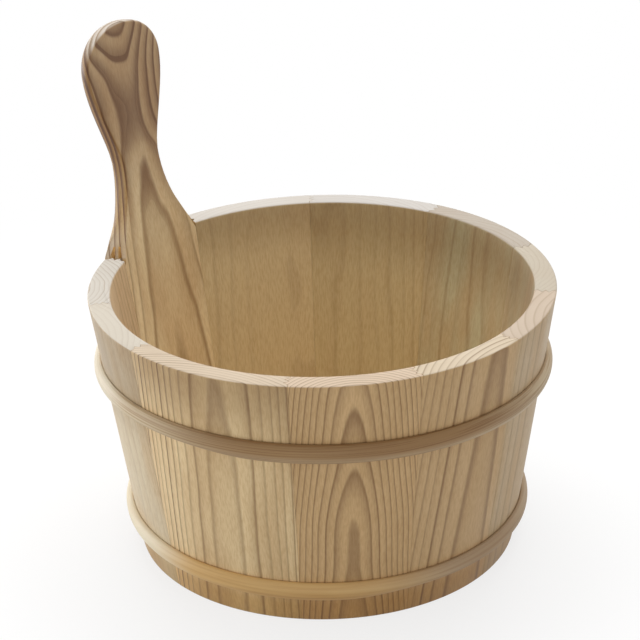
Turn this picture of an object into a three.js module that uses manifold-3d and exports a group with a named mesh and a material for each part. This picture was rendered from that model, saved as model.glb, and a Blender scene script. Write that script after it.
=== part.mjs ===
// Sauna bucket: a coopered pine pail whose one long stave is its handle.
// Millimetres, +Z up, foot on Z = 0, handle towards +Y, box centred on the Z axis.

import * as THREE from 'three';
import { mergeVertices } from 'three/addons/utils/BufferGeometryUtils.js';
import Module from 'manifold-3d';

// Wall: a cone that widens towards the rim
const rimRadius = 130; // outside, at the rim
const footRadius = 107.5; // outside, at the foot
const bodyHeight = 152.3; // foot to rim
const wallThickness = 12.5; // level, through the wall

// Staves: widths round the rim, handle stave first, then clockwise seen from above.
// They are shared out so that together they close the circle.
const handleStaveWidth = 75.3;
const plainStaveWidths = [81.7, 81.7, 82.1, 66.5, 66.5, 66.5, 70.8, 97, 64.4, 64.3];

// Glued finger joint, milled along every edge of a stave and of a bottom board
const glueGap = 0.3; // left between two glued edges
const fingerCount = 2; // fingers through the thickness
const fingerDepth = 2.6;
const fingerShoulder = 2.2; // plain edge beside each face

// Handle: the long stave above the rim, measured up its slope
const handleLength = 129.2;
const headWidth = 64.6;
const headHeight = 105; // rim to the widest part of the head
const headThickness = 10.5; // level, at the top; the neck is as thick as the wall
const neckWidth = 32.4;
const neckHeight = 49; // rim to the narrowest part of the neck
const gripOffset = 2.2; // neck and head stand this far clockwise of the stave's middle

// Roundness of the grip's outline: reach of each curve's handles as a share of its run
const sweepAtRoot = 0.27;
const sweepAtNeck = 0.61;
const swellAtNeck = 0.23;
const swellAtHead = 0.34;
const roundAtSide = 0.55;
const roundAtTop = 0.59;

// Bottom: three boards let into a groove round the inside of the staves
const boardThickness = 10;
const middleBoardWidth = 70;
const chimeHeight = 12; // foot to the underside of the boards
const crozeDepth = 5; // groove in the staves
const seatClearance = 0.3; // round the boards in their groove

// Hoops: bent strips of half-round section, pressed on from the foot
const hoopThickness = 4.8;
const hoopClearance = 0.3; // between hoop and staves
const upperHoopWidth = 11.6;
const upperHoopDrop = 38; // rim to the mean level of the hoop's upper edge
const upperHoopSkew = 3.2; // how far its high side rides above its mean level
const upperHoopHighSide = THREE.MathUtils.degToRad(184);
const lowerHoopWidth = 11;
const lowerHoopRise = 16.5; // foot to the mean level of the hoop's lower edge
const lowerHoopSkew = 1.3;
const lowerHoopHighSide = THREE.MathUtils.degToRad(70);

// Hoop ends: cut on a slant, butted and nailed one brad to an end
const scarfLength = 24; // of the slanting cut, along the hoop
const bradSetback = 7; // from the tip of the cut to its brad
const bradShankRadius = 0.8;
const bradHeadRadius = 1.7;
const bradHeadThickness = 0.9;
const bradBite = 5.5; // of the shank in the stave
const bradPoint = 2; // length of the taper at its tip
const bradClearance = 0.3; // round the brad in its hole

// Facets
const arcDivisions = 3; // half the facets across one stave
const outlineDivisions = 8; // facets on each curve of the handle's outline
const handleLevels = 8; // rings up the handle
const ringSegments = 72; // round the hoops, bottom and groove
const sectionDivisions = 10; // across a hoop
const bradSegments = 12;

// Finishes
const finishes = {
  stave: { color: 0xcdb48e, roughness: 0.62, metalness: 0 },
  bottom: { color: 0xc7ac84, roughness: 0.66, metalness: 0 },
  hoop: { color: 0xc9b391, roughness: 0.55, metalness: 0 },
  brad: { color: 0x9c9a94, roughness: 0.4, metalness: 1 },
};

const wallSlope = (rimRadius - footRadius) / bodyHeight;
const wallLean = Math.atan(wallSlope);
const footInnerRadius = footRadius - wallThickness;
const rimInnerRadius = rimRadius - wallThickness;
const handleAngle = Math.PI / 2;

const wasm = await Module();
wasm.setup();

const bucket = new THREE.Group();

// Closed solid of a geometry: corners welded, facets that welding made empty left out
function solidOf(geometry) {
  const bare = geometry.clone();
  bare.deleteAttribute('normal');
  bare.deleteAttribute('uv');
  const welded = mergeVertices(bare, 1e-4);
  const corners = welded.index.array;
  const kept = [];
  for (let i = 0; i < corners.length; i += 3) {
    const [a, b, c] = corners.slice(i, i + 3);
    if (a !== b && b !== c && c !== a) kept.push(a, b, c);
  }
  return new wasm.Manifold(
    new wasm.Mesh({
      numProp: 3,
      vertProperties: new Float32Array(welded.attributes.position.array),
      triVerts: new Uint32Array(kept),
    }),
  );
}

function addPiece(name, solid, finish) {
  const { vertProperties, triVerts } = solid.getMesh();
  const geometry = new THREE.BufferGeometry();
  geometry.setAttribute('position', new THREE.BufferAttribute(vertProperties, 3));
  geometry.setIndex(new THREE.BufferAttribute(triVerts, 1));
  geometry.computeVertexNormals();
  const piece = new THREE.Mesh(geometry, new THREE.MeshStandardMaterial(finish));
  piece.name = name;
  bucket.add(piece);
}

// Ring or disc turned about the Z axis from a profile of (radius, height) points
function turned(profile, segments) {
  return new THREE.LatheGeometry(profile, segments).rotateX(Math.PI / 2);
}

// Profile of a plain ring
function ringProfile(innerRadius, outerRadius, low, high) {
  return [
    new THREE.Vector2(innerRadius, low),
    new THREE.Vector2(outerRadius, low),
    new THREE.Vector2(outerRadius, high),
    new THREE.Vector2(innerRadius, high),
    new THREE.Vector2(innerRadius, low),
  ];
}

// Corners of the finger joint through a thickness: how far across it, and how deep the finger is there
function fingers(thickness) {
  const pitch = (thickness - 2 * fingerShoulder) / fingerCount;
  const corners = [{ across: fingerShoulder, deep: 0 }];
  for (let finger = 0; finger < fingerCount; finger += 1) {
    const start = fingerShoulder + finger * pitch;
    corners.push({ across: start + pitch / 2, deep: fingerDepth });
    corners.push({ across: start + pitch, deep: 0 });
  }
  return corners;
}

// Staves

// Section of a stave at the foot, between two joints. Its fingers point clockwise, so its
// clockwise edge carries them and its other edge is grooved for its neighbour's.
function stavePlan(from, to) {
  const corners = fingers(wallThickness);
  const halfGap = glueGap / 2;
  const innerTrim = Math.asin(halfGap / footInnerRadius);
  const outerTrim = Math.asin(halfGap / footRadius);
  const plan = new THREE.Shape();
  const edgeTo = (angle, corner, aside) => {
    const along = footInnerRadius + corner.across;
    plan.lineTo(
      along * Math.cos(angle) - aside * Math.sin(angle),
      along * Math.sin(angle) + aside * Math.cos(angle),
    );
  };
  plan.absarc(0, 0, footInnerRadius, from + innerTrim, to - innerTrim, false);
  for (const corner of corners) edgeTo(to, corner, -corner.deep - halfGap);
  plan.absarc(0, 0, footRadius, to - outerTrim, from + outerTrim, true);
  for (const corner of corners.reverse()) edgeTo(from, corner, -corner.deep + halfGap);
  plan.closePath();
  return plan;
}

// Stave blank through a list of heights. Each corner moves out along its own radius as the wall
// widens. On the grip, flatness(height), from 0 to 1, turns the hollow inner face into a flat one,
// and thinning(height) brings the outer face in.
function staveBlank(plan, heights, flatness, thinning) {
  const layers = heights.length - 1;
  const blank = new THREE.ExtrudeGeometry(plan, {
    depth: layers,
    steps: layers,
    bevelEnabled: false,
    curveSegments: arcDivisions,
  });
  const place = blank.attributes.position;
  for (let i = 0; i < place.count; i += 1) {
    const height = heights[Math.round(place.getZ(i))];
    const angle = Math.atan2(place.getY(i), place.getX(i));
    const footPlace = Math.hypot(place.getX(i), place.getY(i));
    const inward = (footRadius - footPlace) / wallThickness;
    const toFlat = 1 / Math.cos(angle - handleAngle) - 1;
    const hollow = footPlace + wallSlope * height - (1 - inward) * thinning(height);
    const radius = hollow * (1 + inward * flatness(height) * toFlat);
    place.setXYZ(i, radius * Math.cos(angle), radius * Math.sin(angle), height);
  }
  return solidOf(blank);
}

// Outline of the grip in the plane of its inner face, from the rim up: it sweeps in from the full
// width of the stave to the neck, swells to the head and closes over it.
function gripOutline(rootHalfWidth) {
  const sideCurves = (side) => {
    const root = side * rootHalfWidth;
    const neck = side * (neckWidth / 2) - gripOffset;
    const head = side * (headWidth / 2) - gripOffset;
    const rise = headHeight - neckHeight;
    const crown = handleLength - headHeight;
    const curve = (...points) => {
      const [start, leave, arrive, end] = points.map(([across, up]) => new THREE.Vector2(across, up));
      return new THREE.CubicBezierCurve(start, leave, arrive, end);
    };
    return [
      curve(
        [root, 0],
        [(root + neck) / 2, sweepAtRoot * neckHeight],
        [neck, sweepAtNeck * neckHeight],
        [neck, neckHeight],
      ),
      curve(
        [neck, neckHeight],
        [neck, neckHeight + swellAtNeck * rise],
        [head, headHeight - swellAtHead * rise],
        [head, headHeight],
      ),
      curve(
        [head, headHeight],
        [head, headHeight + roundAtSide * crown],
        [side * roundAtTop * (headWidth / 2) - gripOffset, handleLength],
        [-gripOffset, handleLength],
      ),
    ];
  };
  const pointsUp = (side) =>
    sideCurves(side).flatMap((curve) => curve.getPoints(outlineDivisions).slice(0, -1));
  const top = new THREE.Vector2(-gripOffset, handleLength);
  return new THREE.Shape([
    new THREE.Vector2(rootHalfWidth, -wallThickness),
    ...pointsUp(1),
    top,
    ...pointsUp(-1).reverse(),
    new THREE.Vector2(-rootHalfWidth, -wallThickness),
  ]);
}

// What is kept of the long blank: all of it below the rim, and the grip's outline above
function handleKeep(rootHalfWidth) {
  const throughWall = 3 * wallThickness;
  const grip = new THREE.ExtrudeGeometry(gripOutline(rootHalfWidth), {
    depth: throughWall,
    bevelEnabled: false,
  });
  grip.translate(0, 0, -wallThickness);
  const across = new THREE.Vector3(-1, 0, 0);
  const up = new THREE.Vector3(0, Math.sin(wallLean), Math.cos(wallLean));
  const out = new THREE.Vector3(0, Math.cos(wallLean), -Math.sin(wallLean));
  grip.applyMatrix4(new THREE.Matrix4().makeBasis(across, up, out));
  grip.translate(0, rimInnerRadius, bodyHeight);
  const below = new THREE.BoxGeometry(4 * rimRadius, 4 * rimRadius, 2 * bodyHeight);
  return solidOf(grip).add(solidOf(below));
}

const staveWidths = [handleStaveWidth, ...plainStaveWidths];
const wholeWidth = staveWidths.reduce((sum, width) => sum + width, 0);
const staveAngles = staveWidths.map((width) => (2 * Math.PI * width) / wholeWidth);
const staves = [];
let joint = handleAngle + staveAngles[0] / 2;
for (const [index, angle] of staveAngles.entries()) {
  const from = joint - angle;
  const name = index === 0 ? 'handle_stave' : `stave_${String(index).padStart(2, '0')}`;
  staves.push({ name, middle: (from + joint) / 2, plan: stavePlan(from, joint) });
  joint = from;
}

for (const stave of staves.slice(1)) {
  stave.solid = staveBlank(stave.plan, [0, bodyHeight], () => 0, () => 0);
}

const handleHeights = [0, bodyHeight];
for (let level = 1; level <= handleLevels; level += 1) {
  handleHeights.push(bodyHeight + (handleLength * level) / handleLevels);
}
const gripFlatness = (height) => THREE.MathUtils.smoothstep(height - bodyHeight, 0, neckHeight);
const gripThinning = (height) => {
  const towardsTop = THREE.MathUtils.smoothstep(height - bodyHeight, neckHeight, handleLength);
  return (wallThickness - headThickness) * towardsTop;
};
const rootHalfWidth = rimInnerRadius * Math.sin(staveAngles[0] / 2);
const handleStave = staves[0];
handleStave.solid = staveBlank(handleStave.plan, handleHeights, gripFlatness, gripThinning)
  .intersect(handleKeep(rootHalfWidth));

// Bottom

const boardTop = chimeHeight + boardThickness;
const crozeRadius = footInnerRadius + wallSlope * chimeHeight + crozeDepth;
const bottomRadius = crozeRadius - seatClearance;

const croze = solidOf(turned(
  ringProfile(
    footInnerRadius - crozeDepth,
    crozeRadius,
    chimeHeight - seatClearance,
    boardTop + seatClearance,
  ),
  ringSegments,
));
for (const stave of staves) stave.solid = stave.solid.subtract(croze);

const bottomDisc = solidOf(turned(
  [
    new THREE.Vector2(0, chimeHeight),
    new THREE.Vector2(bottomRadius, chimeHeight),
    new THREE.Vector2(bottomRadius, boardTop),
    new THREE.Vector2(0, boardTop),
  ],
  ringSegments,
));

// Block that cuts one board out of the disc. A joint is the place of a glued edge, or null at the
// outside; fingers point to -X.
function boardBlock(leftJoint, rightJoint) {
  const corners = fingers(boardThickness);
  const halfGap = glueGap / 2;
  const beyond = 2 * bottomRadius;
  const section = new THREE.Shape();
  const edge = (place, gap) => [
    { x: place + gap, z: -boardThickness },
    ...corners.map((corner) => ({ x: place + gap - corner.deep, z: corner.across })),
    { x: place + gap, z: 2 * boardThickness },
  ];
  const outside = (x) => [{ x, z: -boardThickness }, { x, z: 2 * boardThickness }];
  const left = leftJoint === null ? outside(-beyond) : edge(leftJoint, halfGap);
  const right = rightJoint === null ? outside(beyond) : edge(rightJoint, -halfGap);
  section.setFromPoints([...right, ...left.reverse()].map((point) => new THREE.Vector2(point.x, point.z)));
  const block = new THREE.ExtrudeGeometry(section, { depth: 2 * beyond, bevelEnabled: false });
  block.rotateX(Math.PI / 2);
  block.translate(0, beyond, chimeHeight);
  return solidOf(block);
}

const boardJoint = middleBoardWidth / 2;
const boards = [
  { name: 'bottom_board_left', left: null, right: -boardJoint },
  { name: 'bottom_board_middle', left: -boardJoint, right: boardJoint },
  { name: 'bottom_board_right', left: boardJoint, right: null },
];

// Hoops

// Half-round section beside the wall, as (radius, height) points, at a mean height on the wall
function hoopSection(hoop) {
  const curve = new THREE.EllipseCurve(0, 0, hoop.width / 2, hoopThickness, 0, Math.PI, false);
  const points = curve.getPoints(sectionDivisions).map((point) => {
    const upSlope = point.x;
    const off = hoopClearance + point.y;
    return new THREE.Vector2(
      footRadius + wallSlope * hoop.middle + upSlope * Math.sin(wallLean) + off * Math.cos(wallLean),
      hoop.middle + upSlope * Math.cos(wallLean) - off * Math.sin(wallLean),
    );
  });
  return [...points, points[0].clone()].reverse();
}

// How far a hoop rides above its mean level at an angle
function hoopRide(hoop, angle) {
  return hoop.skew * Math.cos(angle - hoop.highSide);
}

function hoopRing(hoop) {
  const ring = turned(hoopSection(hoop), ringSegments);
  const place = ring.attributes.position;
  for (let i = 0; i < place.count; i += 1) {
    const angle = Math.atan2(place.getY(i), place.getX(i));
    const ride = hoopRide(hoop, angle);
    const radius = Math.hypot(place.getX(i), place.getY(i)) + wallSlope * ride;
    place.setXYZ(i, radius * Math.cos(angle), radius * Math.sin(angle), place.getZ(i) + ride);
  }
  return solidOf(ring);
}

// Frame on the outside of the wall under a hoop: X along the hoop, Y up the slope, Z out of the wall
function wallFrame(hoop, angle) {
  const height = hoop.middle + hoopRide(hoop, angle);
  const along = new THREE.Vector3(-Math.sin(angle), Math.cos(angle), 0);
  const out = new THREE.Vector3(
    Math.cos(angle) * Math.cos(wallLean),
    Math.sin(angle) * Math.cos(wallLean),
    -Math.sin(wallLean),
  );
  const up = new THREE.Vector3().crossVectors(out, along);
  const radius = footRadius + wallSlope * height;
  return new THREE.Matrix4()
    .makeBasis(along, up, out)
    .setPosition(radius * Math.cos(angle), radius * Math.sin(angle), height);
}

// Slanting cut where the two ends of a hoop meet
function scarfCut(hoop) {
  const slant = Math.atan(scarfLength / hoop.width);
  const cut = new THREE.BoxGeometry(glueGap, 3 * Math.hypot(scarfLength, hoop.width), 6 * hoopThickness);
  cut.rotateZ(-slant);
  return solidOf(cut.applyMatrix4(wallFrame(hoop, hoop.endsAt)));
}

// Brad, or with a clearance its hole, along Z with Z = 0 on the wall. The head is set flush with the
// crown of the hoop; the hole is open above it.
function bradProfile(clearance) {
  const crown = hoopClearance + hoopThickness;
  const shank = bradShankRadius + clearance;
  const head = bradHeadRadius + clearance;
  const underHead = crown - bradHeadThickness - clearance;
  const top = clearance > 0 ? crown + hoopThickness : crown;
  return [
    new THREE.Vector2(0, -bradBite - clearance),
    new THREE.Vector2(shank, bradPoint - bradBite - clearance),
    new THREE.Vector2(shank, underHead),
    new THREE.Vector2(head, underHead),
    new THREE.Vector2(head, top),
    new THREE.Vector2(0, top),
  ];
}

const upperHoop = {
  name: 'upper_hoop',
  width: upperHoopWidth,
  middle: bodyHeight - upperHoopDrop - (upperHoopWidth / 2) * Math.cos(wallLean),
  skew: upperHoopSkew,
  highSide: upperHoopHighSide,
  nailedTo: staves[2],
};
const lowerHoop = {
  name: 'lower_hoop',
  width: lowerHoopWidth,
  middle: lowerHoopRise + (lowerHoopWidth / 2) * Math.cos(wallLean),
  skew: lowerHoopSkew,
  highSide: lowerHoopHighSide,
  nailedTo: staves[1],
};
const bradOffset = scarfLength / 2 + bradSetback;
for (const hoop of [upperHoop, lowerHoop]) {
  hoop.endsAt = hoop.nailedTo.middle;
  hoop.solid = hoopRing(hoop).subtract(scarfCut(hoop));
  hoop.brads = [-bradOffset, bradOffset].map((offset) => {
    const frame = wallFrame(hoop, hoop.endsAt + offset / rimRadius);
    const hole = solidOf(turned(bradProfile(bradClearance), bradSegments).applyMatrix4(frame));
    hoop.solid = hoop.solid.subtract(hole);
    hoop.nailedTo.solid = hoop.nailedTo.solid.subtract(hole);
    return solidOf(turned(bradProfile(0), bradSegments).applyMatrix4(frame));
  });
}

// Assembly

for (const stave of staves) addPiece(stave.name, stave.solid, finishes.stave);
for (const board of boards) {
  addPiece(board.name, bottomDisc.intersect(boardBlock(board.left, board.right)), finishes.bottom);
}
for (const hoop of [upperHoop, lowerHoop]) {
  addPiece(hoop.name, hoop.solid, finishes.hoop);
  for (const [index, brad] of hoop.brads.entries()) {
    addPiece(`${hoop.name}_brad_${index + 1}`, brad, finishes.brad);
  }
}

const box = new THREE.Box3().setFromObject(bucket);
const boxMiddle = box.getCenter(new THREE.Vector3());
bucket.position.set(-boxMiddle.x, -boxMiddle.y, 0);

export default bucket;
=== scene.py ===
import math
from functools import partial

import bpy
import numpy as np
from mathutils import Euler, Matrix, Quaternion, Vector


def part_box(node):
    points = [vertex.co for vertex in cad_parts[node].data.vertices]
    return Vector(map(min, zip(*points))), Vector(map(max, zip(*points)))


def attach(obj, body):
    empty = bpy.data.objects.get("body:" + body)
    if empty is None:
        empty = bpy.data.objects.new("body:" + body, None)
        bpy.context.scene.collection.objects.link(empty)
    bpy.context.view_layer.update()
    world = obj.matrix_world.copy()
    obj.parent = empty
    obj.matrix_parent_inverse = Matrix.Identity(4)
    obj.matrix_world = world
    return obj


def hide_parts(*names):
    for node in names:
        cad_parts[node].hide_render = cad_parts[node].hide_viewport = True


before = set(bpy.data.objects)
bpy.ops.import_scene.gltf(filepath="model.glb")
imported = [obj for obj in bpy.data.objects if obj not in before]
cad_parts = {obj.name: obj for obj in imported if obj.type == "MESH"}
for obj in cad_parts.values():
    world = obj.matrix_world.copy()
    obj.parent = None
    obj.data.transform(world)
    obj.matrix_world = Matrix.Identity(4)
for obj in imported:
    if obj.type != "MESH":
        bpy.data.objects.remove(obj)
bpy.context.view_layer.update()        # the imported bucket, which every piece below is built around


# Camera
# The photograph looks down into the mouth over a long lens, with the handle at the back left.
# The bucket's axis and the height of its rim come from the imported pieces.
MM = 0.001
left_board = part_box("bottom_board_left")
middle_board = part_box("bottom_board_middle")
right_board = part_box("bottom_board_right")
axis = Vector((
    (left_board[0].x + right_board[1].x) / 2,
    (middle_board[0].y + middle_board[1].y) / 2,
    0,
))
body_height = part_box("stave_05")[1].z / MM

view_azimuth = math.radians(-55.6)
view_elevation = math.radians(24.1)
view_roll = math.radians(-1.43)
view_distance = 1299.3  # mm, from the middle of the rim
photo_width = 640  # pixels
focal_length = 2340.7  # pixels
rim_pixel = (321.97, 281.98)  # where the middle of the rim lies in the photograph

lens = bpy.data.cameras.new("camera")
lens.sensor_width = 36
lens.lens = focal_length / photo_width * lens.sensor_width
camera = bpy.data.objects.new("camera", lens)
towards_camera = Vector((
    math.sin(view_azimuth) * math.cos(view_elevation),
    -math.cos(view_azimuth) * math.cos(view_elevation),
    math.sin(view_elevation),
))
rim_in_frame = Vector((
    (rim_pixel[0] - photo_width / 2) / focal_length,
    (photo_width / 2 - rim_pixel[1]) / focal_length,
    -1,
))
camera.location = axis + Vector((0, 0, body_height * MM)) + towards_camera * view_distance * MM
camera.rotation_mode = "QUATERNION"
camera.rotation_quaternion = (
    (-towards_camera).to_track_quat("-Z", "Y")
    @ Quaternion((0, 0, 1), view_roll)
    @ rim_in_frame.rotation_difference(Vector((0, 0, -1)))
)
bpy.context.scene.collection.objects.link(camera)
bpy.context.scene.camera = camera


# Plain staves
# Ten tapered staves of pale pine, planed hollow inside and round outside. They are glued edge to
# edge with a milled finger joint, and a groove round the inside, the croze, holds the bottom.
rim_radius = 130.0
foot_radius = 107.5
wall = 12.5
slope = (rim_radius - foot_radius) / body_height
handle_stave_width = 75.3
plain_stave_widths = (81.7, 81.7, 82.1, 66.5, 66.5, 66.5, 70.8, 97.0, 64.4, 64.3)
glue_line = 0.06
rim_crack = 0.3  # the joints open a little where the end grain has dried
finger_count = 2
finger_depth = 2.6
finger_shoulder = 2.2
edge_ease = 0.12  # rounding of the long edges
end_ease = 1.1  # rounding of the rim and the foot
round_steps = 4
chime = 12.0  # foot to the underside of the bottom
board_thickness = 10.0
seat_clearance = 0.15
croze_depth = 5.0
croze_chamfer = 1.0
stave_edge_places = (0.01, 0.05, 0.12)  # where the rounded edges of a face have their points
stave_middle_count = 30
side_heights = (50.0, 80.0, 110.0, 135.0)
crease = math.radians(38)  # faces that meet more sharply than this show an edge


def outer_radius(height):
    return foot_radius + slope * height


def fall(inset, radius):
    """How far a rounded edge has fallen away, at a distance in from that edge."""
    short = np.clip(radius - inset, 0, radius)
    return radius - np.sqrt(radius**2 - short**2)


def across_face(width, edge_places, middle_count):
    """Places across a face of that width, crowded where its two long edges are rounded."""
    near = np.array(edge_places)
    middle = np.linspace(near[-1], width - near[-1], middle_count + 2)[1:-1]
    return np.concatenate([near, middle, width - near[::-1]])


def finger_corners(thickness):
    """Corners of the finger joint through a thickness: how far across it, and how deep."""
    pitch = (thickness - 2 * finger_shoulder) / finger_count
    corners = [(finger_shoulder, 0.0)]
    for finger in range(finger_count):
        for quarter_pitch, deep in ((1, 0.5), (2, 1.0), (3, 0.5), (4, 0.0)):
            across = finger_shoulder + (finger + quarter_pitch / 4) * pitch
            corners.append((across, deep * finger_depth))
    return corners


def stave_loop(first, last, inner_height, outer_height, end_inset, croze, gap, edge_places, middle_count):
    """Section of a stave between two joints, anticlockwise: outside, grooved edge, inside, fingers."""
    def face(height, radius, towards_wood):
        width = radius * (last - first) - gap
        places = across_face(width, edge_places, middle_count)
        angles = first + (gap / 2 + places) / radius
        eased_off = fall(np.minimum(places, width - places), edge_ease) + end_inset
        reach = radius + towards_wood * eased_off
        return np.stack([reach * np.cos(angles), reach * np.sin(angles), np.full(len(places), height)], 1)

    def edge(angle, side):
        corners = [(end_inset + edge_ease, 0.0)]
        corners += finger_corners(wall)
        corners.append((wall - end_inset - edge_ease, 0.0))
        points = []
        for across, deep in corners:
            across = croze + across * (wall - croze) / wall
            height = inner_height + (outer_height - inner_height) * across / wall
            along = outer_radius(height) - wall + across
            aside = side * gap / 2 - deep
            points.append((
                along * math.cos(angle) - aside * math.sin(angle),
                along * math.sin(angle) + aside * math.cos(angle),
                height,
            ))
        return np.array(points)

    outside = face(outer_height, outer_radius(outer_height), -1)
    inside = face(inner_height, outer_radius(inner_height) - wall + croze, 1)
    grooved = edge(last, -1)
    fingered = edge(first, 1)
    return np.concatenate([outside, grooved[::-1], inside[::-1], fingered])


def lofted(loops):
    """Corners and faces of a closed skin through loops of as many points, capped at both ends."""
    count = len(loops[0])
    faces = []
    for level in range(len(loops) - 1):
        for place in range(count):
            after = (place + 1) % count
            low = level * count
            faces.append((low + place, low + after, low + count + after, low + count + place))
    top = (len(loops) - 1) * count
    faces.append(tuple(range(count - 1, -1, -1)))
    faces.append(tuple(range(top, top + count)))
    return np.concatenate(loops), faces


def add_piece(node, slot, corners, faces, material):
    """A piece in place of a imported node, from corners in mm about the bucket's axis."""
    mesh = bpy.data.meshes.new(f"{node}_piece")
    mesh.from_pydata((np.array(corners) * MM + np.array(axis)).tolist(), [], faces)
    mesh.polygons.foreach_set("use_smooth", [True] * len(mesh.polygons))
    mesh.set_sharp_from_angle(angle=crease)
    mesh.materials.append(material)
    piece = bpy.data.objects.new(f"{node}_piece", mesh)
    bpy.context.scene.collection.objects.link(piece)
    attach(piece, "root")
    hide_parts(node)
    return piece


def paint(colour):
    """Linear colour of an sRGB hex value."""
    shares = [int(colour[i:i + 2], 16) / 255 for i in (1, 3, 5)]
    linear = [s / 12.92 if s <= 0.04045 else ((s + 0.055) / 1.055) ** 2.4 for s in shares]
    return (*linear, 1.0)


def put(tree, kind, inputs=(), **settings):
    """Adds a node with its settings. Inputs, in order or by name, are values or other outputs."""
    made = tree.nodes.new(f"ShaderNode{kind}")
    for name, value in settings.items():
        setattr(made, name, value)
    for socket, value in inputs.items() if isinstance(inputs, dict) else enumerate(inputs):
        if isinstance(value, bpy.types.NodeSocket):
            tree.links.new(value, made.inputs[socket])
        else:
            made.inputs[socket].default_value = value
    return made.outputs


def bare_material(name):
    material = bpy.data.materials.new(name)
    material.use_nodes = True
    material.node_tree.nodes.clear()
    return material, material.node_tree


# Pine, planed and sanded, with no lacquer: pale straw spring wood and narrow brown summer wood.
# The rings lie round the tree's heart, so that a face cut along them shows arches, one cut across
# them shows close lines, and the sawn ends show arcs.
spring_wood = "#cfae7f"
spring_wood_warm = "#c8a676"
summer_wood = "#8e6a40"
end_grain = "#c6beb4"
end_summer = "#97836c"
# painted shade: the staves are darker towards the foot
painted_foot_shade = "#e8d6b4"
foot_shade_heights = (7.8, 26.0)
# painted shade, greying some staves towards the top
painted_top_shade = "#d8d0c6"
# painted shade, darkening the grip towards its head
painted_head_shade = "#cabbb0"
# painted shade on the grip's sides
painted_side_shade = "#d8c49e"
fibre_shade = "#d0ba94"
fibre_width = 0.7  # coarser than real fibres, which are too fine to show
fibre_length = 22.0
sway_width = 30.0  # how far apart the rings' wanderings are, across the grain and along it
sway_length = 120.0
tone_width = 24.0
tone_length = 120.0
year_change = 0.35  # how quickly good years turn to poor ones, per ring
year_shift = 0.5  # and how far they shift the rings, in rings
ring_start = 0.68  # share of a year at which the drift counts a whole ring
slow_darkening = (0.1, 0.82)  # shares of a year between which spring wood turns to summer wood
quick_darkening = (0.62, 0.85)
winter_stop = (0.83, 1.0)  # and between which the next spring wood begins
soft_shares = (0.25, 0.65)  # of the slow darkening, in rings cut across and in rings cut flat
crisp_shares = (0.75, 0.25)  # and of the quick one
ring_unevenness = 0.6  # share of a ring's darkness that differs from year to year
arch_unevenness = 0.3
bold_gain = 1.5
unshaded_ring_gain = 0.5  # the handle's rings show less below the grip's painted shade
side_gain = 0.8  # and more on the sides of the grip
arch_heights = (body_height - 30, body_height + 20)  # over which the handle's rings turn soft
side_facing = (0.3, 0.8)  # cosines between which a face counts as a side of the grip
end_facing = (0.35, 0.85)  # and as a sawn end
end_cover = 0.85
tone_range = (0.35, 0.65)  # of the noise, from none of a tone to all of it
fibre_range = (0.35, 0.7)
fibre_cover = 0.36
fibre_relief = 0.6
ring_relief = 0.5
grain_depth = 0.06
rough_range = (0.3, 0.7)
planed_rough = (0.48, 0.6)
sawn_rougher = 0.25
eased = dict(interpolation_type="SMOOTHSTEP")
in_colour = dict(data_type="RGBA")


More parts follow.
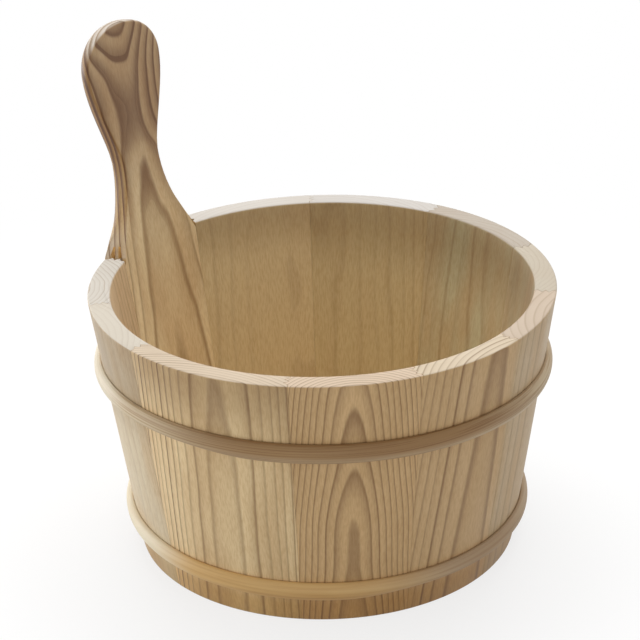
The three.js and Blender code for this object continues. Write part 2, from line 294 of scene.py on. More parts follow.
def pine(name, face, heart, across, drift, ring, seed, facing=0.0, lean=0.0, sway=1.2, contrast=1.0,
         spring=spring_wood, mottle=0.5, ends=end_grain, arched=None, bolder=None, top_shade_heights=None, lying=False,
         head_shade_heights=None, grip_heights=None, grip_heart=None, grip_widening=None):
    """Pine of one board, for the stave that faces that way or for a board that lies along Y.

    The heart lies a distance beyond a face of the wall (outwards if positive), at a place across the
    board that leans with height. The drift gives how many rings that face has crossed at each height.
    Pairs of places across give where rings are cut flat and look soft (arched) or stand out (bolder),
    and pairs of heights over which painted shade greys the board towards its top (top_shade_heights) or
    darkens the grip towards its head and on its sides (head_shade_heights). Over the grip's heights the
    heart comes to another distance, and the rings on one side grow wider.
    """
    material, tree = bare_material(name)
    add = partial(put, tree)
    turned = Euler((math.pi / 2, 0, math.pi / 2) if lying else (0, 0, -facing))
    centred = -(turned.to_matrix() @ axis) / MM
    own = add("TexCoord")["Object"]
    place = add("Mapping", (own, centred, turned, (1 / MM,) * 3))["Vector"]
    normal = add("NewGeometry")["Normal"]

    def streaks(width, length, detail, shift):
        """Noise drawn out along the grain."""
        drawn_out = add("VectorMath", (place, (1 / width, 1 / width, 1 / length), (seed + shift,) * 3),
                        operation="MULTIPLY_ADD")["Vector"]
        return add("TexNoise", {"Vector": drawn_out, "Scale": 1.0, "Detail": detail})

    # Distance from the heart, with the rings swaying by noise that strays a quarter from its middle, 0.5
    wander = add("VectorMath", (streaks(sway_width, sway_length, 2.0, 0.0)["Color"], (0.5,) * 3),
                 operation="SUBTRACT")["Vector"]
    swayed = add("VectorMath", (wander, (sway / 0.25,) * 3, place), operation="MULTIPLY_ADD")["Vector"]
    parts = add("SeparateXYZ", (swayed,))
    height = parts["Z"]
    flat_face = add("Math", (height, 0.0 if lying else slope, face), operation="MULTIPLY_ADD")["Value"]
    inwards = (flat_face, parts["X"]) if heart > 0 else (parts["X"], flat_face)
    depth = add("Math", inwards, operation="SUBTRACT")["Value"]
    across_at_foot = across - lean * body_height / 2
    heart_line = add("Math", (height, lean, across_at_foot), operation="MULTIPLY_ADD")["Value"]
    aside = add("Math", (parts["Y"], heart_line), operation="SUBTRACT")["Value"]
    beyond = abs(heart)
    if grip_heights:
        beyond = add("MapRange", (height, *grip_heights, beyond, grip_heart), **eased)["Result"]
        widening = add("MapRange", (height, *grip_heights, 1.0, grip_widening), **eased)["Result"]
        widened = add("Math", (aside, widening), operation="MULTIPLY")["Value"]
        aside = add("Math", (aside, widened), operation="MINIMUM")["Value"]
    inside = add("Math", (beyond, depth), operation="ADD")["Value"]
    spoke = add("CombineXYZ", (inside, aside))["Vector"]
    from_heart = add("VectorMath", (spoke,), operation="LENGTH")["Value"]

    # Age of the wood in years, and the season of the year in which it grew
    crossed = add("FloatCurve", {"Value": height})["Value"]
    curve = crossed.node.mapping
    curve.use_clip = False
    curve.extend = "EXTRAPOLATED"
    points = curve.curves[0].points
    for level, rings in drift[2:]:
        points.new(level, rings)
    for point, location in zip(points, drift):
        point.location = location
    curve.update()
    past_face = add("Math", (from_heart, beyond), operation="SUBTRACT")["Value"]
    grown = add("Math", (past_face, ring), operation="DIVIDE")["Value"]
    good_years = add("TexNoise", {"W": grown, "Scale": year_change, "Detail": 1.0},
                     noise_dimensions="1D")["Fac"]
    growth = add("Math", (good_years, year_shift, grown), operation="MULTIPLY_ADD")["Value"]
    age = add("Math", (growth, crossed), operation="ADD")["Value"]
    time = add("Math", (age, ring_start), operation="ADD")["Value"]
    season = add("Math", (time,), operation="FRACT")["Value"]
    seeded_time = add("Math", (age, ring_start + seed), operation="ADD")["Value"]
    year = add("Math", (seeded_time,), operation="FLOOR")["Value"]
    strength = add("TexWhiteNoise", {"W": year}, noise_dimensions="1D")["Value"]

    # How dark each ring's summer wood is: soft and broad where it is cut flat, and else crisp
    flat_cut = 0.0
    if arched:
        off_middle = add("Math", (aside,), operation="ABSOLUTE")["Value"]
        flat_cut = add("MapRange", (off_middle, *arched, 1.0, 0.0), **eased)["Result"]
    if head_shade_heights:
        above_rim = add("MapRange", (height, *arch_heights), **eased)["Result"]
        flat_cut = add("Math", (flat_cut, above_rim), operation="MULTIPLY")["Value"]
    bands = []
    for darkening, (cut_across, cut_flat) in ((quick_darkening, crisp_shares), (slow_darkening, soft_shares)):
        share = add("Math", (flat_cut, cut_flat - cut_across, cut_across), operation="MULTIPLY_ADD")["Value"]
        band = add("MapRange", (season, *darkening), **eased)["Result"]
        bands.append(add("Math", (band, share), operation="MULTIPLY")["Value"])
    summer = add("Math", bands, operation="ADD")["Value"]
    before_winter = add("MapRange", (season, *winter_stop, 1.0, 0.0), **eased)["Result"]
    late = add("Math", (summer, before_winter), operation="MULTIPLY")["Value"]
    uneven = arch_unevenness if arched else ring_unevenness
    ring_contrast = add("Math", (strength, uneven * contrast, (1 - uneven) * contrast),
                        operation="MULTIPLY_ADD")["Value"]
    dark = add("Math", (late, ring_contrast), operation="MULTIPLY")["Value"]
    gains = []
    if bolder:
        gains.append(add("MapRange", (aside, *bolder, bold_gain, 1.0), **eased)["Result"])
    if head_shade_heights:
        gains.append(add("MapRange", (height, *head_shade_heights, unshaded_ring_gain, 1.0), **eased)["Result"])
        sideways = add("VectorMath", (normal, (-math.sin(facing), math.cos(facing), 0.0)),
                       operation="DOT_PRODUCT")["Value"]
        to_a_side = add("Math", (sideways,), operation="ABSOLUTE")["Value"]
        edge = add("MapRange", (to_a_side, *side_facing), **eased)["Result"]
        gains.append(add("Math", (edge, side_gain, 1.0), operation="MULTIPLY_ADD")["Value"])
    for gain in gains:
        dark = add("Math", (dark, gain), operation="MULTIPLY")["Value"]

    # Colour of the long faces, toned by fibres and by painted shade, and of the sawn ends
    fibre = streaks(fibre_width, fibre_length, 3.0, 7.0)["Fac"]
    tone = streaks(tone_width, tone_length, 2.0, 13.0)["Fac"]
    patches = add("MapRange", (tone, *tone_range, 0.0, mottle), **eased)["Result"]
    mottled = add("Mix", {0: patches, 6: paint(spring), 7: paint(spring_wood_warm)}, **in_colour)[2]
    colour = add("Mix", {0: dark, 6: mottled, 7: paint(summer_wood)}, **in_colour)[2]
    tints = [(add("MapRange", (fibre, *fibre_range, 0.0, fibre_cover), **eased)["Result"], fibre_shade)]
    # painted shade: each stave darker towards its foot
    if not lying:
        tints.append((add("MapRange", (height, *foot_shade_heights, 1.0, 0.0), **eased)["Result"], painted_foot_shade))
    # painted shade: greyer towards the top of the board
    if top_shade_heights:
        tints.append((add("MapRange", (height, *top_shade_heights), **eased)["Result"], painted_top_shade))
    # painted shade: the grip darker towards its head
    if head_shade_heights:
        tints.append((add("MapRange", (height, *head_shade_heights), **eased)["Result"], painted_head_shade))
        # painted shade on the grip's sides, where the faces turn away from the light
        tints.append((edge, painted_side_shade))
    for share, tint in tints:
        colour = add("Mix", {0: share, 6: colour, 7: paint(tint)}, blend_type="MULTIPLY", **in_colour)[2]
    along = add("SeparateXYZ", (normal,))["Y" if lying else "Z"]
    to_an_end = add("Math", (along,), operation="ABSOLUTE")["Value"]
    sawn = add("MapRange", (to_an_end, *end_facing), **eased)["Result"]
    end_share = add("Math", (sawn, end_cover), operation="MULTIPLY")["Value"]
    end_rings = add("Mix", {0: dark, 6: paint(ends), 7: paint(end_summer)}, **in_colour)[2]
    colour = add("Mix", {0: end_share, 6: colour, 7: end_rings}, **in_colour)[2]

    # Fibres and summer wood stand a little proud, and sawn ends are rougher
    raised_rings = add("Math", (dark, ring_relief), operation="MULTIPLY")["Value"]
    relief = add("Math", (fibre, fibre_relief, raised_rings), operation="MULTIPLY_ADD")["Value"]
    bump = add("Bump", {"Height": relief, "Strength": 0.35, "Distance": grain_depth * MM})["Normal"]
    face_rough = add("MapRange", (tone, *rough_range, *planed_rough), **eased)["Result"]
    rough = add("Math", (sawn, sawn_rougher, face_rough), operation="MULTIPLY_ADD")["Value"]
    wood = add("BsdfPrincipled", {
        "Base Color": colour, "Roughness": rough, "Normal": bump, "IOR": 1.5,
        "Sheen Weight": 0.12, "Sheen Roughness": 0.45,
    })["BSDF"]
    add("OutputMaterial", {"Surface": wood})
    return material


stave_widths = (handle_stave_width, *plain_stave_widths)
stave_angles = [2 * math.pi * width / sum(stave_widths) for width in stave_widths]
handle_facing = math.pi / 2
joint = handle_facing + stave_angles[0] / 2
stave_joints = []
for angle in stave_angles:
    stave_joints.append((joint - angle, joint))
    joint -= angle

quarter = [math.pi / 2 * step / round_steps for step in range(round_steps + 1)]
end_round = [(end_ease * (1 - math.cos(turn)), end_ease * (1 - math.sin(turn))) for turn in quarter]
croze_low = chime - seat_clearance
croze_high = chime + board_thickness + seat_clearance
foot_levels = [(rise, rise, inset, 0.0, glue_line) for rise, inset in end_round]
croze_levels = [
    (croze_low, croze_low, 0.0, 0.0, glue_line),
    (croze_low, croze_low + croze_chamfer, 0.0, croze_depth, glue_line),
    (croze_high, croze_high - croze_chamfer, 0.0, croze_depth, glue_line),
    (croze_high, croze_high, 0.0, 0.0, glue_line),
]
side_levels = [(height, height, 0.0, 0.0, glue_line) for height in side_heights]
rim_levels = []
for rise, inset in reversed(end_round):
    gap = glue_line + (rim_crack - glue_line) * inset / end_ease
    rim_levels.append((body_height - rise, body_height - rise, inset, 0.0, gap))

# How each stave's board was cut from its tree: drift holds (height, rings crossed) pairs
# Some boards are painted greyer towards the top, as painted shade
stave_cuts = (
    dict(heart=-60, across=-10, drift=((0, 0.3), (152, 0.5)), ring=3.4, contrast=0.22, seed=3.1,
         spring="#dcc99f", mottle=0.15, top_shade_heights=(118, 150), ends="#c4c0bb"),
    dict(heart=-55, across=18, drift=((0, 0.2), (152, 0.6)), ring=3.2, contrast=0.26, seed=9.7,
         spring="#d4c398", mottle=0.15, top_shade_heights=(105, 148), ends="#c2bfbc"),
    dict(heart=-50, across=-16, drift=((0, 0.4), (152, 0.1)), ring=3.4, contrast=0.45, seed=15.3,
         spring="#cfcaa8", top_shade_heights=(100, 145), ends="#aea499"),
    dict(heart=-36, across=14, drift=((0, 0.4), (152, 0.2)), ring=2.8, contrast=0.3, seed=21.9,
         spring="#c9bf9f", top_shade_heights=(100, 145), ends="#b9af9f"),
    dict(heart=60, across=14, drift=((0, 0.15), (152, 0.15)), ring=4.5, contrast=0.6, seed=28.2, sway=0.5,
         spring="#c6ac83", ends="#bdad9c"),
    dict(heart=60, across=19.5, lean=0.08, drift=((0, 0.12), (45, 0.17), (135, 0.25), (152, 0.26)),
         ring=3.6, contrast=1.1, seed=33.4, sway=0.3, ends="#ccbea8"),
    dict(heart=24, across=-2, ring=2.5, contrast=1.0, seed=41.6, sway=0.5, arched=(3, 16),
         drift=((0, -1.7), (25, -1.25), (34, -1.13), (50, -1.08), (62, -1.0), (76, -0.7), (100, 0.0),
                (139, 1.0), (152, 1.4)),
         spring="#d5b280", ends="#ccb9a4"),
    dict(heart=87, across=10, lean=0.09, drift=((0, 0.57), (152, 0.57)), ring=2.5, contrast=0.85,
         seed=47.8, sway=0.5, bolder=(-40, -20), spring="#efd5a5", top_shade_heights=(105, 150), ends="#cbbba6"),
    dict(heart=60, across=-12, drift=((0, 0.2), (152, 0.5)), ring=3.3, contrast=0.25, seed=52.5,
         spring="#d6c6a6", top_shade_heights=(80, 125), ends="#c8c1b4"),
    dict(heart=35, across=10, drift=((0, 0.0), (152, 2.4)), ring=2.6, contrast=0.7, seed=58.9,
         spring="#d4ba93", ends="#c4c1ba"),
)
for number, ((first, last), cut) in enumerate(zip(stave_joints[1:], stave_cuts), 1):
    loops = [
        stave_loop(first, last, *level, stave_edge_places, stave_middle_count)
        for level in [*foot_levels, *croze_levels, *side_levels, *rim_levels]
    ]
    face = foot_radius - (wall if cut["heart"] < 0 else 0)
    board = pine(f"sanded_pine_of_stave_{number:02d}", face, facing=(first + last) / 2, **cut)
    add_piece(f"stave_{number:02d}", "stave_pine", *lofted(loops), board)


# Handle stave
# The eleventh stave runs on above the rim as a paddle: its inner face planes out flat, its back
# stays round, and its edges are sanded off, softly at the back. Glue has dried in the joint's
# grooves where they run out above the neighbouring stave.
handle_length = 129.2
head_width = 64.6
head_height = 105.0
head_thickness = 10.5
neck_width = 32.4
neck_height = 49.0
grip_offset = 2.2
front_ease = 1.6
back_ease = 5.6
ease_run = 22.0  # above the rim, over which the edges take on their full rounding
groove_runs = (4.5, 6.5)  # how far above the rim the joint's grooves run out, back and front
groove_narrowing = 1.5  # of a groove's outer side, by where it has run out
glue_top = 4.5  # how far above the rim the glue reaches
finger_run = 1.0
splay_run = 16.0  # over which the sides turn from the joint's plane to square with the face
neck_pulls = (0.27, 0.61)  # where the curves of the outline bend, as shares of their rise or width
head_pulls = (0.23, 0.34)
crown_pulls = (0.55, 0.59)
outline_steps = 160  # along each curve of the grip's outline
crown_steps = 26
handle_back_places = (0.03, 0.2, 0.6, 1.2, 2.0, 3.0, 4.2, 5.6, 7.0)
handle_front_places = (0.02, 0.1, 0.3, 0.6, 1.0, 1.6)
handle_middle_count = 24

lean_angle = math.atan(slope)
rim_inner_radius = rim_radius - wall
first_joint, last_joint = stave_joints[0]
splay = math.tan(stave_angles[0] / 2)
root_half_width = rim_inner_radius * math.sin(stave_angles[0] / 2)


def bezier(points, steps):
    share = np.linspace(0, 1, steps)[:, None]
    p = np.array(points)
    return ((1 - share)**3 * p[0] + 3 * share * (1 - share)**2 * p[1]
            + 3 * share**2 * (1 - share) * p[2] + share**3 * p[3])


def smooth(value, low, high):
    share = np.clip((value - low) / (high - low), 0, 1)
    return share * share * (3 - 2 * share)


def grip_side(side, steps):
    """Curves of one side of the grip's outline, from the rim to the top, as (across, up) points."""
    root = side * root_half_width
    neck = side * neck_width / 2 + grip_offset
    head = side * head_width / 2 + grip_offset
    rise = head_height - neck_height
    crown = handle_length - head_height
    curves = [
        [(root, 0), ((root + neck) / 2, neck_pulls[0] * neck_height), (neck, neck_pulls[1] * neck_height),
         (neck, neck_height)],
        [(neck, neck_height), (neck, neck_height + head_pulls[0] * rise),
         (head, head_height - head_pulls[1] * rise), (head, head_height)],
        [(head, head_height), (head, head_height + crown_pulls[0] * crown),
         (side * crown_pulls[1] * head_width / 2 + grip_offset, handle_length), (grip_offset, handle_length)],
    ]
    return [bezier(points, steps) for points in curves]


right_side = np.concatenate(grip_side(1, outline_steps))
left_side = np.concatenate(grip_side(-1, outline_steps))
grip_edge = np.concatenate([right_side, left_side])


def on_grip(across, up, off):
    """Place of a point measured across and up the grip's inner face, and off it."""
    across, up, off = np.broadcast_arrays(across, up, off)
    return np.stack([
        across,
        rim_inner_radius + up * math.sin(lean_angle) + off * math.cos(lean_angle),
        body_height + up * math.cos(lean_angle) - off * math.sin(lean_angle),
    ], 1)


def grip_face(across, up, back):
    """How far off the flat of the grip its front or its back lies, closed in on in a few turns."""
    off = np.zeros(np.shape(across))
    for _ in range(4):
        height = body_height + up * math.cos(lean_angle) - off * math.sin(lean_angle)
        above = height - body_height
        if back:
            thinner = (wall - head_thickness) * smooth(above, neck_height, handle_length)
            deep = np.sqrt((outer_radius(height) - thinner)**2 - across**2)
        else:
            inner = outer_radius(height) - wall
            flat = smooth(above, 0, neck_height)
            deep = (1 - flat) * np.sqrt(inner**2 - across**2) + flat * inner
        off = (deep - rim_inner_radius - up * math.sin(lean_angle)) / math.cos(lean_angle)
    return off


def grip_loop(up):
    """Section of the grip at a distance up its slope, in the same order as a stave's."""
    right = np.interp(up, right_side[:, 1], right_side[:, 0])
    left = np.interp(up, left_side[:, 1], left_side[:, 0])
    rounding = smooth(up, 0, ease_run)
    front_round = edge_ease + (front_ease - edge_ease) * rounding
    back_round = edge_ease + (back_ease - edge_ease) * rounding
    splayed = splay * (1 - smooth(up, 0, splay_run))

    def face(back):
        places = np.array(handle_back_places if back else handle_front_places)
        guess = grip_face(np.array([right, left]), up, back)
        low = left - splayed * guess[1]
        high = right + splayed * guess[0]
        width = high - low
        fit = min(1.0, 0.35 * width / places[-1])  # closer together where the top narrows
        steps = across_face(width, places * fit, handle_middle_count)
        across = high - steps
        inset = np.minimum(steps, width - steps)
        if up > neck_height:
            gaps = np.hypot(across[:, None] - grip_edge[None, :, 0], up - grip_edge[None, :, 1])
            inset = np.minimum(inset, gaps.min(axis=1))
        radius = back_round if back else front_round
        off = grip_face(across, up, back) + (-1 if back else 1) * fall(inset, radius)
        return on_grip(across, up, off)

    def edge(limit, side):
        limits = np.array([limit])
        near = grip_face(limits, up, False)[0] + front_round
        far = grip_face(limits, up, True)[0] - back_round
        corners = [(0.0, 0.0), *finger_corners(wall), (wall, 0.0)]
        points = []
        for across, deep in corners:
            off = near + (far - near) * across / wall
            if side < 0:
                in_front = across < wall / 2
                left_of_it = max(0.0, 1 - up / groove_runs[in_front])
                moved = deep * left_of_it
                if across in (finger_shoulder, wall - finger_shoulder):
                    narrowed = groove_narrowing if in_front else -groove_narrowing
                    off += (far - near) / wall * narrowed * (1 - left_of_it)
            else:
                moved = deep * max(0.0, 1 - up / finger_run)
            points.append(on_grip(np.array([limit + side * splayed * off + moved]), up, np.array([off]))[0])
        return np.array(points)

    grooved = edge(left, -1)
    fingered = edge(right, 1)
    return np.concatenate([face(True), grooved[::-1], face(False)[::-1], fingered])


def handle_stave_loop(level):
    """Section of the handle stave below the rim, with as many points as the grip's."""
    outside = stave_loop(first_joint, last_joint, *level, handle_back_places, handle_middle_count)
    inside = stave_loop(first_joint, last_joint, *level, handle_front_places, handle_middle_count)
    back_count = 2 * len(handle_back_places) + handle_middle_count
    front_count = 2 * len(handle_front_places) + handle_middle_count
    return np.concatenate([outside[:back_count], inside[front_count:]])


under_rim = body_height - 3  # where the section starts to change to the grip's
below_rim = [(height, height, 0.0, 0.0, glue_line) for height in (*side_heights, under_rim)]
grip_levels = [
    0.0, 0.7, 1.5, 2.5, 4.0, 6.0, 8.0, 10.0, 12.5, 15.0, 18.0, 22.0, 26.0, 30.0, 35.0, 40.0, 45.0, 50.0,
    56.0, 62.0, 68.0, 74.0, 80.0, 85.0, 90.0, 95.0, 100.0,
]
grip_levels += list(grip_side(1, crown_steps)[2][:-1, 1])
handle_loops = [handle_stave_loop(level) for level in [*foot_levels, *croze_levels, *below_rim]]
grip_start = len(handle_loops)
handle_loops += [grip_loop(up) for up in grip_levels]
handle_drift = (
    (0, -0.98), (98, -0.97), (112, -0.76), (138, -0.53), (160, -0.39), (172, -0.28), (185, -0.18),
    (204, 0.0), (214, 0.38), (231, 0.56), (245, 0.38), (257, 0.0), (273, -1.0), (282, -1.6),
)
# The grip is painted darker towards its head and on its sides, as painted shade
handle_board = pine(
    "sanded_pine_of_handle", foot_radius - wall, facing=handle_facing, heart=-42, across=-2.5,
    drift=handle_drift, ring=3.4, contrast=1.5, seed=64.3, sway=0.8, arched=(10, 45), spring="#eedbb2",
    head_shade_heights=(body_height - 5, body_height + 80), grip_heights=(190, 230), grip_heart=29, grip_widening=0.62,
)
handle = add_piece("handle_stave", "stave_pine", *lofted(handle_loops), handle_board)

# Dried wood glue: amber, smooth and a little glossy in the bottom of the grooves
thin_glue = "#d3a45c"
thick_glue = "#9c6c2c"
glue_drops = 0.7  # to a millimetre
glue, glue_tree = bare_material("dried_glue")
glue_place = put(glue_tree, "TexCoord")["Object"]
glue_noise = put(glue_tree, "TexNoise",
                 {"Vector": glue_place, "Scale": glue_drops / MM, "Detail": 2.0})["Fac"]
glue_colour = put(glue_tree, "Mix",
                  {0: glue_noise, 6: paint(thin_glue), 7: paint(thick_glue)}, **in_colour)[2]
glue_skin = put(glue_tree, "BsdfPrincipled",
                {"Base Color": glue_colour, "Roughness": 0.35, "IOR": 1.48})["BSDF"]
put(glue_tree, "OutputMaterial", {"Surface": glue_skin})
handle.data.materials.append(glue)
grooved_from = 2 * len(handle_back_places) + handle_middle_count + 1
groove_places = [grooved_from + 4 * finger + half for finger in range(finger_count) for half in (1, 2)]
loop_count = len(handle_loops[0])
for step, up in enumerate(grip_levels):
    if up < glue_top:
        for place in groove_places:
            handle.data.polygons[(grip_start + step) * loop_count + place].material_index = 1


# Bottom boards
# Three planed pine boards, glued edge to edge with the same finger joint and turned to a disc
# that is sprung into the croze as the staves are drawn together.
middle_board_width = 70.0
board_ease = 0.5
bottom_radius = outer_radius(chime) - wall + croze_depth - seat_clearance
rim_steps = 40


def board_loop(low_joint, high_joint, level, inset):
    """Outline of a board at a height through its thickness, anticlockwise from above."""
    deep = np.interp(level, *zip(*[(0, 0), *finger_corners(board_thickness), (board_thickness, 0)]))
    low = -bottom_radius if low_joint is None else low_joint + glue_line / 2
    high = bottom_radius if high_joint is None else high_joint - glue_line / 2
    reach = bottom_radius - inset
    turn_low = math.acos(max(-1.0, low / reach))
    turn_high = math.acos(min(1.0, high / reach))
    points = []
    for side in (-1, 1):
        turns = np.linspace(turn_low, turn_high, rim_steps)
        if side > 0:
            turns = turns[::-1]
        for turn in turns:
            x = reach * math.cos(turn)
            shift = 0.0
            if low_joint is not None and abs(x - low) < 1e-6:
                shift = inset - deep
            if high_joint is not None and abs(x - high) < 1e-6:
                shift = -inset - deep
            points.append((x + shift, side * reach * math.sin(turn), chime + level))
    return np.array(points)


board_round = [(rise * board_ease / end_ease, inset * board_ease / end_ease) for rise, inset in end_round]
board_levels = [*board_round]
board_levels += [(across, 0.0) for across, _ in finger_corners(board_thickness)]
board_levels += [(board_thickness - rise, inset) for rise, inset in reversed(board_round)]
board_joint = middle_board_width / 2
board_cuts = {
    "left": (None, -board_joint,
             dict(heart=30, across=-62, drift=((-100, -0.6), (100, 0.9)), ring=2.4, seed=71.0)),
    "middle": (-board_joint, board_joint,
               dict(heart=45, across=6, drift=((-100, 0.5), (100, -0.7)), ring=2.4, seed=77.0)),
    "right": (board_joint, None,
              dict(heart=35, across=70, drift=((-100, 0.2), (100, 1.0)), ring=2.6, seed=83.0)),
}
for side, (low_joint, high_joint, cut) in board_cuts.items():
    loops = [board_loop(low_joint, high_joint, level, inset) for level, inset in board_levels]
    board = pine(f"planed_pine_of_bottom_{side}", chime + board_thickness, contrast=0.6, spring="#e8d6ac",
                 lying=True, **cut)
    add_piece(f"bottom_board_{side}", "bottom_pine", *lofted(loops), board)


# Hoops
# Two strips of smooth half-round wood, steamed, bent round the staves and pressed on from the foot.
# Each is cut on a slant where its ends meet, is shaved slimmer in one stretch, and sits a little
# out of level on the staves.
hoop_thickness = 4.8
hoop_bedding = 0.05
hoop_edge = 0.8  # rounding of the edges, which leaves a dark nick along the wall
scarf_length = 24.0
shaved_stretch = (0.8, 1.0)  # cosines of the way round between which the shaving sets in
hoop_steps = 200
section_steps = 22
upper_hoop_width = 11.6
upper_hoop_drop = 38.0
lower_hoop_width = 11.0
lower_hoop_rise = 16.5
# Each hoop's palest colour is painted light, on the side the side lamp lights
hoops = {
    "upper_hoop": dict(
        width=upper_hoop_width,
        middle=body_height - upper_hoop_drop - upper_hoop_width / 2 * math.cos(lean_angle),
        stave=2, skew=3.2, high_side=math.radians(184), shaved=2.0, shaved_facing=math.radians(160),
        painted_lit_colour="#eee7d3", heartwood="#d0be9e", brown="#a07e52", line="#c6aa86", lit_side=(0.84, 0.98),
        brown_facing=math.radians(222), brown_below=0.5, line_width=0.75, contrast=0.6, seed=91.0,
    ),
    "lower_hoop": dict(
        width=lower_hoop_width,
        middle=lower_hoop_rise + lower_hoop_width / 2 * math.cos(lean_angle),
        stave=1, skew=1.3, high_side=math.radians(70), shaved=3.0, shaved_facing=math.radians(256),
        painted_lit_colour="#ece2c8", heartwood="#b9a182", brown="#dab375", line="#cfb086", lit_side=(0.66, 0.95),
        brown_facing=math.radians(190), brown_below=1.0, line_width=1.6, contrast=0.3, seed=97.0,
    ),
}


def on_wall(angle, height, up, off):
    """Place beside the outside of the wall, up its slope and off it from a height at an angle."""
    reach = outer_radius(height) + up * math.sin(lean_angle) + off * math.cos(lean_angle)
    return (
        reach * math.cos(angle),
        reach * math.sin(angle),
        height + up * math.cos(lean_angle) - off * math.sin(lean_angle),
    )


def hoop_height(hoop, angle):
    return hoop["middle"] + hoop["skew"] * math.cos(angle - hoop["high_side"])


def hoop_loops(hoop):
    """Sections of a hoop from one slanted end round to the other."""
    ends = sum(stave_joints[hoop["stave"]]) / 2
    half = hoop["width"] / 2
    bullnose = [
        (half - hoop_edge * (1 - math.sin(turn)), hoop_bedding + hoop_edge * (1 - math.cos(turn)))
        for turn in quarter[:-1]
    ]
    crest = hoop_thickness - hoop_edge
    turns = np.linspace(0, math.pi, section_steps + 1)
    section = list(bullnose)
    section += [(half * math.cos(t), hoop_bedding + hoop_edge + crest * math.sin(t)) for t in turns]
    section += [(-up, off) for up, off in reversed(bullnose)]
    loops = []
    for step in range(hoop_steps + 1):
        share = step / hoop_steps
        points = []
        for up, off in section:
            slant = up * scarf_length / hoop["width"] / rim_radius
            start = ends + slant + glue_line / rim_radius
            angle = start + share * (2 * math.pi - 2 * glue_line / rim_radius)
            if up < 0:
                slimmer = hoop["shaved"] * smooth(math.cos(angle - hoop["shaved_facing"]), *shaved_stretch)
                up *= 1 - slimmer / half
            points.append(on_wall(angle, hoop_height(hoop, angle), up, off))
        loops.append(np.array(points[::-1]))
    return loops


# Bent hoop wood: sanded smooth, its grain running round with the bend as fine long lines. The strip is
# painted paler on the side that faces the lit left, as painted light, and is brownest in one stretch.
# painted light: the hoops turn paler towards the side that the side lamp lights
lit_side_facing = math.radians(128)
brown_stretch = (0.45, 0.95)  # cosines of the way round between which the brown sets in
brown_edge = (-4.5, 0.5)  # mm up from the hoop's middle, over which the brown reaches its full depth
line_length = 120.0
line_range = (0.44, 0.64)  # of the noise, from no line to a full one
lit_line_fading = 0.8  # how far the lines fade under the painted light
hoop_fibre_width = 0.7  # coarser than real fibres, which are too fine to show
hoop_fibre_length = 25.0
hoop_fibre_depth = 0.05
hoop_tone_width = 9.0
hoop_tone_length = 90.0
hoop_tone_cover = 0.35
sanded_rough = (0.52, 0.62)


def hoop_wood(name, hoop):
    """Wood of a hoop, its grain unrolled from where the ends meet."""
    material, tree = bare_material(name)
    add = partial(put, tree)
    turn = math.pi - sum(stave_joints[hoop["stave"]]) / 2
    turned = Euler((0, 0, turn))
    centred = -(turned.to_matrix() @ axis) / MM
    own = add("TexCoord")["Object"]
    place = add("Mapping", (own, centred, turned, (1 / MM,) * 3))["Vector"]
    parts = add("SeparateXYZ", (place,))
    way_round = add("Math", (parts["Y"], parts["X"]), operation="ARCTAN2")["Value"]
    level = add("CombineXYZ", (parts["X"], parts["Y"]))["Vector"]
    reach = add("VectorMath", (level,), operation="LENGTH")["Value"]
    run = add("Math", (way_round, rim_radius), operation="MULTIPLY")["Value"]
    unrolled = add("CombineXYZ", (reach, run, parts["Z"]))["Vector"]

    def streaks(width, length, detail, shift):
        """Noise drawn out along the strip."""
        finer = (1 / width, 1 / length, 1 / width)
        drawn_out = add("VectorMath", (unrolled, finer, (hoop["seed"] + shift,) * 3),
                        operation="MULTIPLY_ADD")["Vector"]
        return add("TexNoise", {"Vector": drawn_out, "Scale": 1.0, "Detail": detail})["Fac"]

    def towards(facing):
        """Cosine of the way round from where the bucket faces that way."""
        away = add("Math", (way_round, facing + turn), operation="SUBTRACT")["Value"]
        return add("Math", (away,), operation="COSINE")["Value"]

    # Painted light: paler on the lit left side; brown on its upper part in one stretch
    middle = add("Math", (towards(hoop["high_side"]), hoop["skew"], hoop["middle"]),
                 operation="MULTIPLY_ADD")["Value"]
    up = add("Math", (parts["Z"], middle), operation="SUBTRACT")["Value"]
    brown_along = add("MapRange", (towards(hoop["brown_facing"]), *brown_stretch), **eased)["Result"]
    brown_up = add("MapRange", (up, *brown_edge, hoop["brown_below"], 1.0), **eased)["Result"]
    browned = add("Math", (brown_along, brown_up), operation="MULTIPLY")["Value"]
    heart = add("Mix", {0: browned, 6: paint(hoop["heartwood"]), 7: paint(hoop["brown"])}, **in_colour)[2]
    lit_side = add("MapRange", (towards(lit_side_facing), *hoop["lit_side"]), **eased)["Result"]
    colour = add("Mix", {0: lit_side, 6: heart, 7: paint(hoop["painted_lit_colour"])}, **in_colour)[2]

    # Lines of the grain, faint under the painted light, and broad soft streaks
    line_noise = streaks(hoop["line_width"], line_length, 3.0, 0.0)
    lines = add("MapRange", (line_noise, *line_range, 0.0, hoop["contrast"]), **eased)["Result"]
    shown = add("Math", (lit_side, -lit_line_fading, 1.0), operation="MULTIPLY_ADD")["Value"]
    shown_lines = add("Math", (lines, shown), operation="MULTIPLY")["Value"]
    tone = streaks(hoop_tone_width, hoop_tone_length, 2.0, 11.0)
    broad_streaks = add("MapRange", (tone, *rough_range, 0.0, hoop_tone_cover), **eased)["Result"]
    line = paint(hoop["line"])
    for share in (shown_lines, broad_streaks):
        colour = add("Mix", {0: share, 6: colour, 7: line}, blend_type="MULTIPLY", **in_colour)[2]

    fibre = streaks(hoop_fibre_width, hoop_fibre_length, 2.0, 5.0)
    bump = add("Bump", {"Height": fibre, "Strength": 0.3, "Distance": hoop_fibre_depth * MM})["Normal"]
    rough = add("MapRange", (fibre, *rough_range, *sanded_rough))["Result"]
    wood = add("BsdfPrincipled", {
        "Base Color": colour, "Roughness": rough, "Normal": bump, "IOR": 1.5,
    })["BSDF"]
    add("OutputMaterial", {"Surface": wood})
    return material


for name, hoop in hoops.items():
    add_piece(name, "hoop_wood", *lofted(hoop_loops(hoop)), hoop_wood(f"bent_wood_of_{name}", hoop))


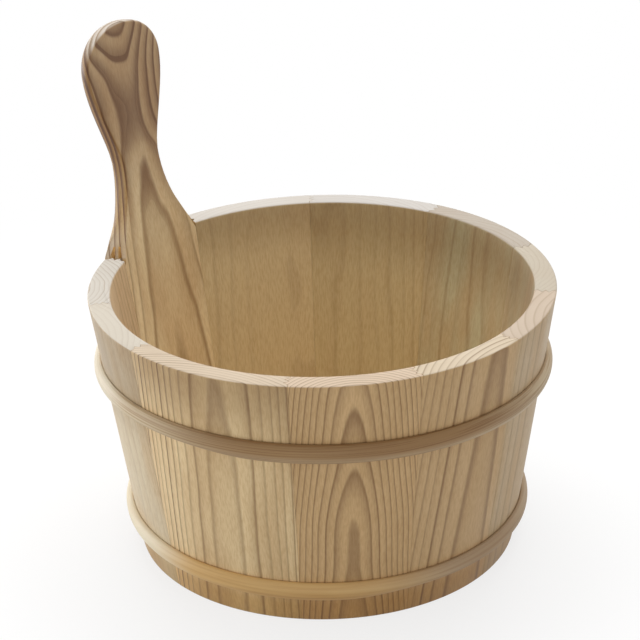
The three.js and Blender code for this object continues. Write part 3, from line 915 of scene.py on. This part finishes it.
# Brads
# Drawn steel wire nails with small round heads, one through each end of a hoop into the stave
# behind, driven until the head is flush.
brad_setback = 7.0
shank_radius = 0.8
head_radius = 1.7
head_depth = 0.9
brad_bite = 5.5
brad_point = 2.0
head_crown = 0.25
head_chamfer = 0.15  # under the head
head_bevel = 0.2  # and on it
crown_bend = 0.6  # share of the head's radius, and of its crown, where the crown bends
tip_radius = 0.02
brad_steps = 24
brad_offset = scarf_length / 2 + brad_setback
hoop_crest = hoop_bedding + hoop_thickness
brad_profile = [
    (tip_radius, -brad_bite),
    (shank_radius, brad_point - brad_bite),
    (shank_radius, hoop_crest - head_depth),
    (head_radius - head_chamfer, hoop_crest - head_depth),
    (head_radius, hoop_crest - head_depth + head_chamfer),
    (head_radius, hoop_crest - head_bevel),
    (head_radius - head_bevel, hoop_crest),
    (head_radius * crown_bend, hoop_crest + head_crown * crown_bend),
    (tip_radius, hoop_crest + head_crown),
]

# Bright drawn steel: a grey metal, fine scratches and a duller patch here and there
bright_steel = "#b9b6ae"
dull_steel = "#8b877f"
steel_patches = 0.9  # to a millimetre
drawn_rough = (0.28, 0.45)
steel, steel_tree = bare_material("drawn_steel")
steel_place = put(steel_tree, "TexCoord")["Object"]
steel_noise = put(steel_tree, "TexNoise",
                  {"Vector": steel_place, "Scale": steel_patches / MM, "Detail": 3.0})["Fac"]
steel_colour = put(steel_tree, "Mix",
                   {0: steel_noise, 6: paint(bright_steel), 7: paint(dull_steel)}, **in_colour)[2]
steel_rough = put(steel_tree, "MapRange", (steel_noise, *rough_range, *drawn_rough))["Result"]
steel_skin = put(steel_tree, "BsdfPrincipled",
                 {"Base Color": steel_colour, "Metallic": 1.0, "Roughness": steel_rough})["BSDF"]
put(steel_tree, "OutputMaterial", {"Surface": steel_skin})

brad_turns = [2 * math.pi * step / brad_steps for step in range(brad_steps)]
for name, hoop in hoops.items():
    ends = sum(stave_joints[hoop["stave"]]) / 2
    for number, offset in enumerate((-brad_offset, brad_offset), 1):
        angle = ends + offset / rim_radius
        height = hoop_height(hoop, angle)
        loops = []
        for reach, off in brad_profile:
            loops.append(np.array([
                on_wall(angle + reach * math.cos(t) / outer_radius(height), height, reach * math.sin(t), off)
                for t in brad_turns
            ]))
        add_piece(f"{name}_brad_{number}", "brad_steel", *lofted(loops), steel)


# Floor and light
# A plain sheet of white paper under a white surround. A long low lamp lights the left side from a
# little behind, a weak one the front, and a soft one hangs above.
floor_size = 8.0  # metres, as is everything here
shadow_reach = (0.15, 0.55)  # from the middle, over which the paper turns from shadowed to plain white
shadowed_glow = 0.78
surround_light = 0.5
half = floor_size / 2
floor_mesh = bpy.data.meshes.new("floor")
floor_corners = [(-half, -half, 0), (half, -half, 0), (half, half, 0), (-half, half, 0)]
floor_mesh.from_pydata(floor_corners, [], [(0, 1, 2, 3)])
floor = bpy.data.objects.new("floor", floor_mesh)
bpy.context.scene.collection.objects.link(floor)


def seen(tree):
    """One for what the eye sees, straight or in a gloss, and nothing for what only gives light."""
    rays = put(tree, "LightPath")
    glints = put(tree, "Math", (rays["Is Glossy Ray"], rays["Is Transmission Ray"]),
                 operation="MAXIMUM")["Value"]
    return put(tree, "Math", (rays["Is Camera Ray"], glints), operation="MAXIMUM")["Value"]


# Matt white paper to the eye; it throws less light back on the bucket than it shows
paper, paper_tree = bare_material("matt_white_paper")
paper_place = put(paper_tree, "TexCoord")["Object"]
paper_reach = put(paper_tree, "VectorMath", (paper_place,), operation="LENGTH")["Value"]
paper_share = put(paper_tree, "MapRange", (paper_reach, *shadow_reach, shadowed_glow, 1.0), **eased)["Result"]
paper_shadow = put(paper_tree, "BsdfDiffuse", {"Color": paint("#f4f4f4")})["BSDF"]
paper_glow = put(paper_tree, "Emission", {"Color": paint("#ffffff"), "Strength": 1.0})["Emission"]
paper_white = put(paper_tree, "MixShader", (paper_share, paper_shadow, paper_glow))["Shader"]
paper_grey = put(paper_tree, "BsdfDiffuse", {"Color": paint("#c6c6c6")})["BSDF"]
paper_skin = put(paper_tree, "MixShader", (seen(paper_tree), paper_grey, paper_white))["Shader"]
put(paper_tree, "OutputMaterial", {"Surface": paper_skin})
floor_mesh.materials.append(paper)

to_right = Vector((math.cos(view_azimuth), math.sin(view_azimuth), 0))
to_front = Vector((math.sin(view_azimuth), -math.cos(view_azimuth), 0))
upwards = Vector((0, 0, 1))
lamps = {
    "side": dict(place=-1.55 * to_right - 0.45 * to_front + 0.11 * upwards, size=(1.5, 0.2), power=12.2),
    "front": dict(place=1.6 * to_front + 0.08 * upwards, size=(1.4, 0.16), power=2.5),
    "top": dict(place=-0.5 * to_front + 1.55 * upwards, size=(1.4, 1.0), power=23.4),
}
aim = 0.1 * upwards
for name, lamp in lamps.items():
    data = bpy.data.lights.new(name, "AREA")
    data.shape = "RECTANGLE"
    data.size, data.size_y = lamp["size"]
    data.energy = lamp["power"]
    light = bpy.data.objects.new(name, data)
    light.location = lamp["place"]
    light.rotation_mode = "QUATERNION"
    light.rotation_quaternion = (aim - lamp["place"]).to_track_quat("-Z", "Y")
    bpy.context.scene.collection.objects.link(light)

world = bpy.data.worlds.new("studio")
bpy.context.scene.world = world
world.use_nodes = True
sky_tree = world.node_tree
sky_tree.nodes.clear()
sky_light = put(sky_tree, "Background", {"Color": paint("#ffffff"), "Strength": surround_light})["Background"]
sky_white = put(sky_tree, "Background", {"Color": paint("#ffffff"), "Strength": 1.0})["Background"]
sky = put(sky_tree, "MixShader", (seen(sky_tree), sky_light, sky_white))["Shader"]
put(sky_tree, "OutputWorld", {"Surface": sky})
bpy.context.scene.view_settings.view_transform = "Standard"
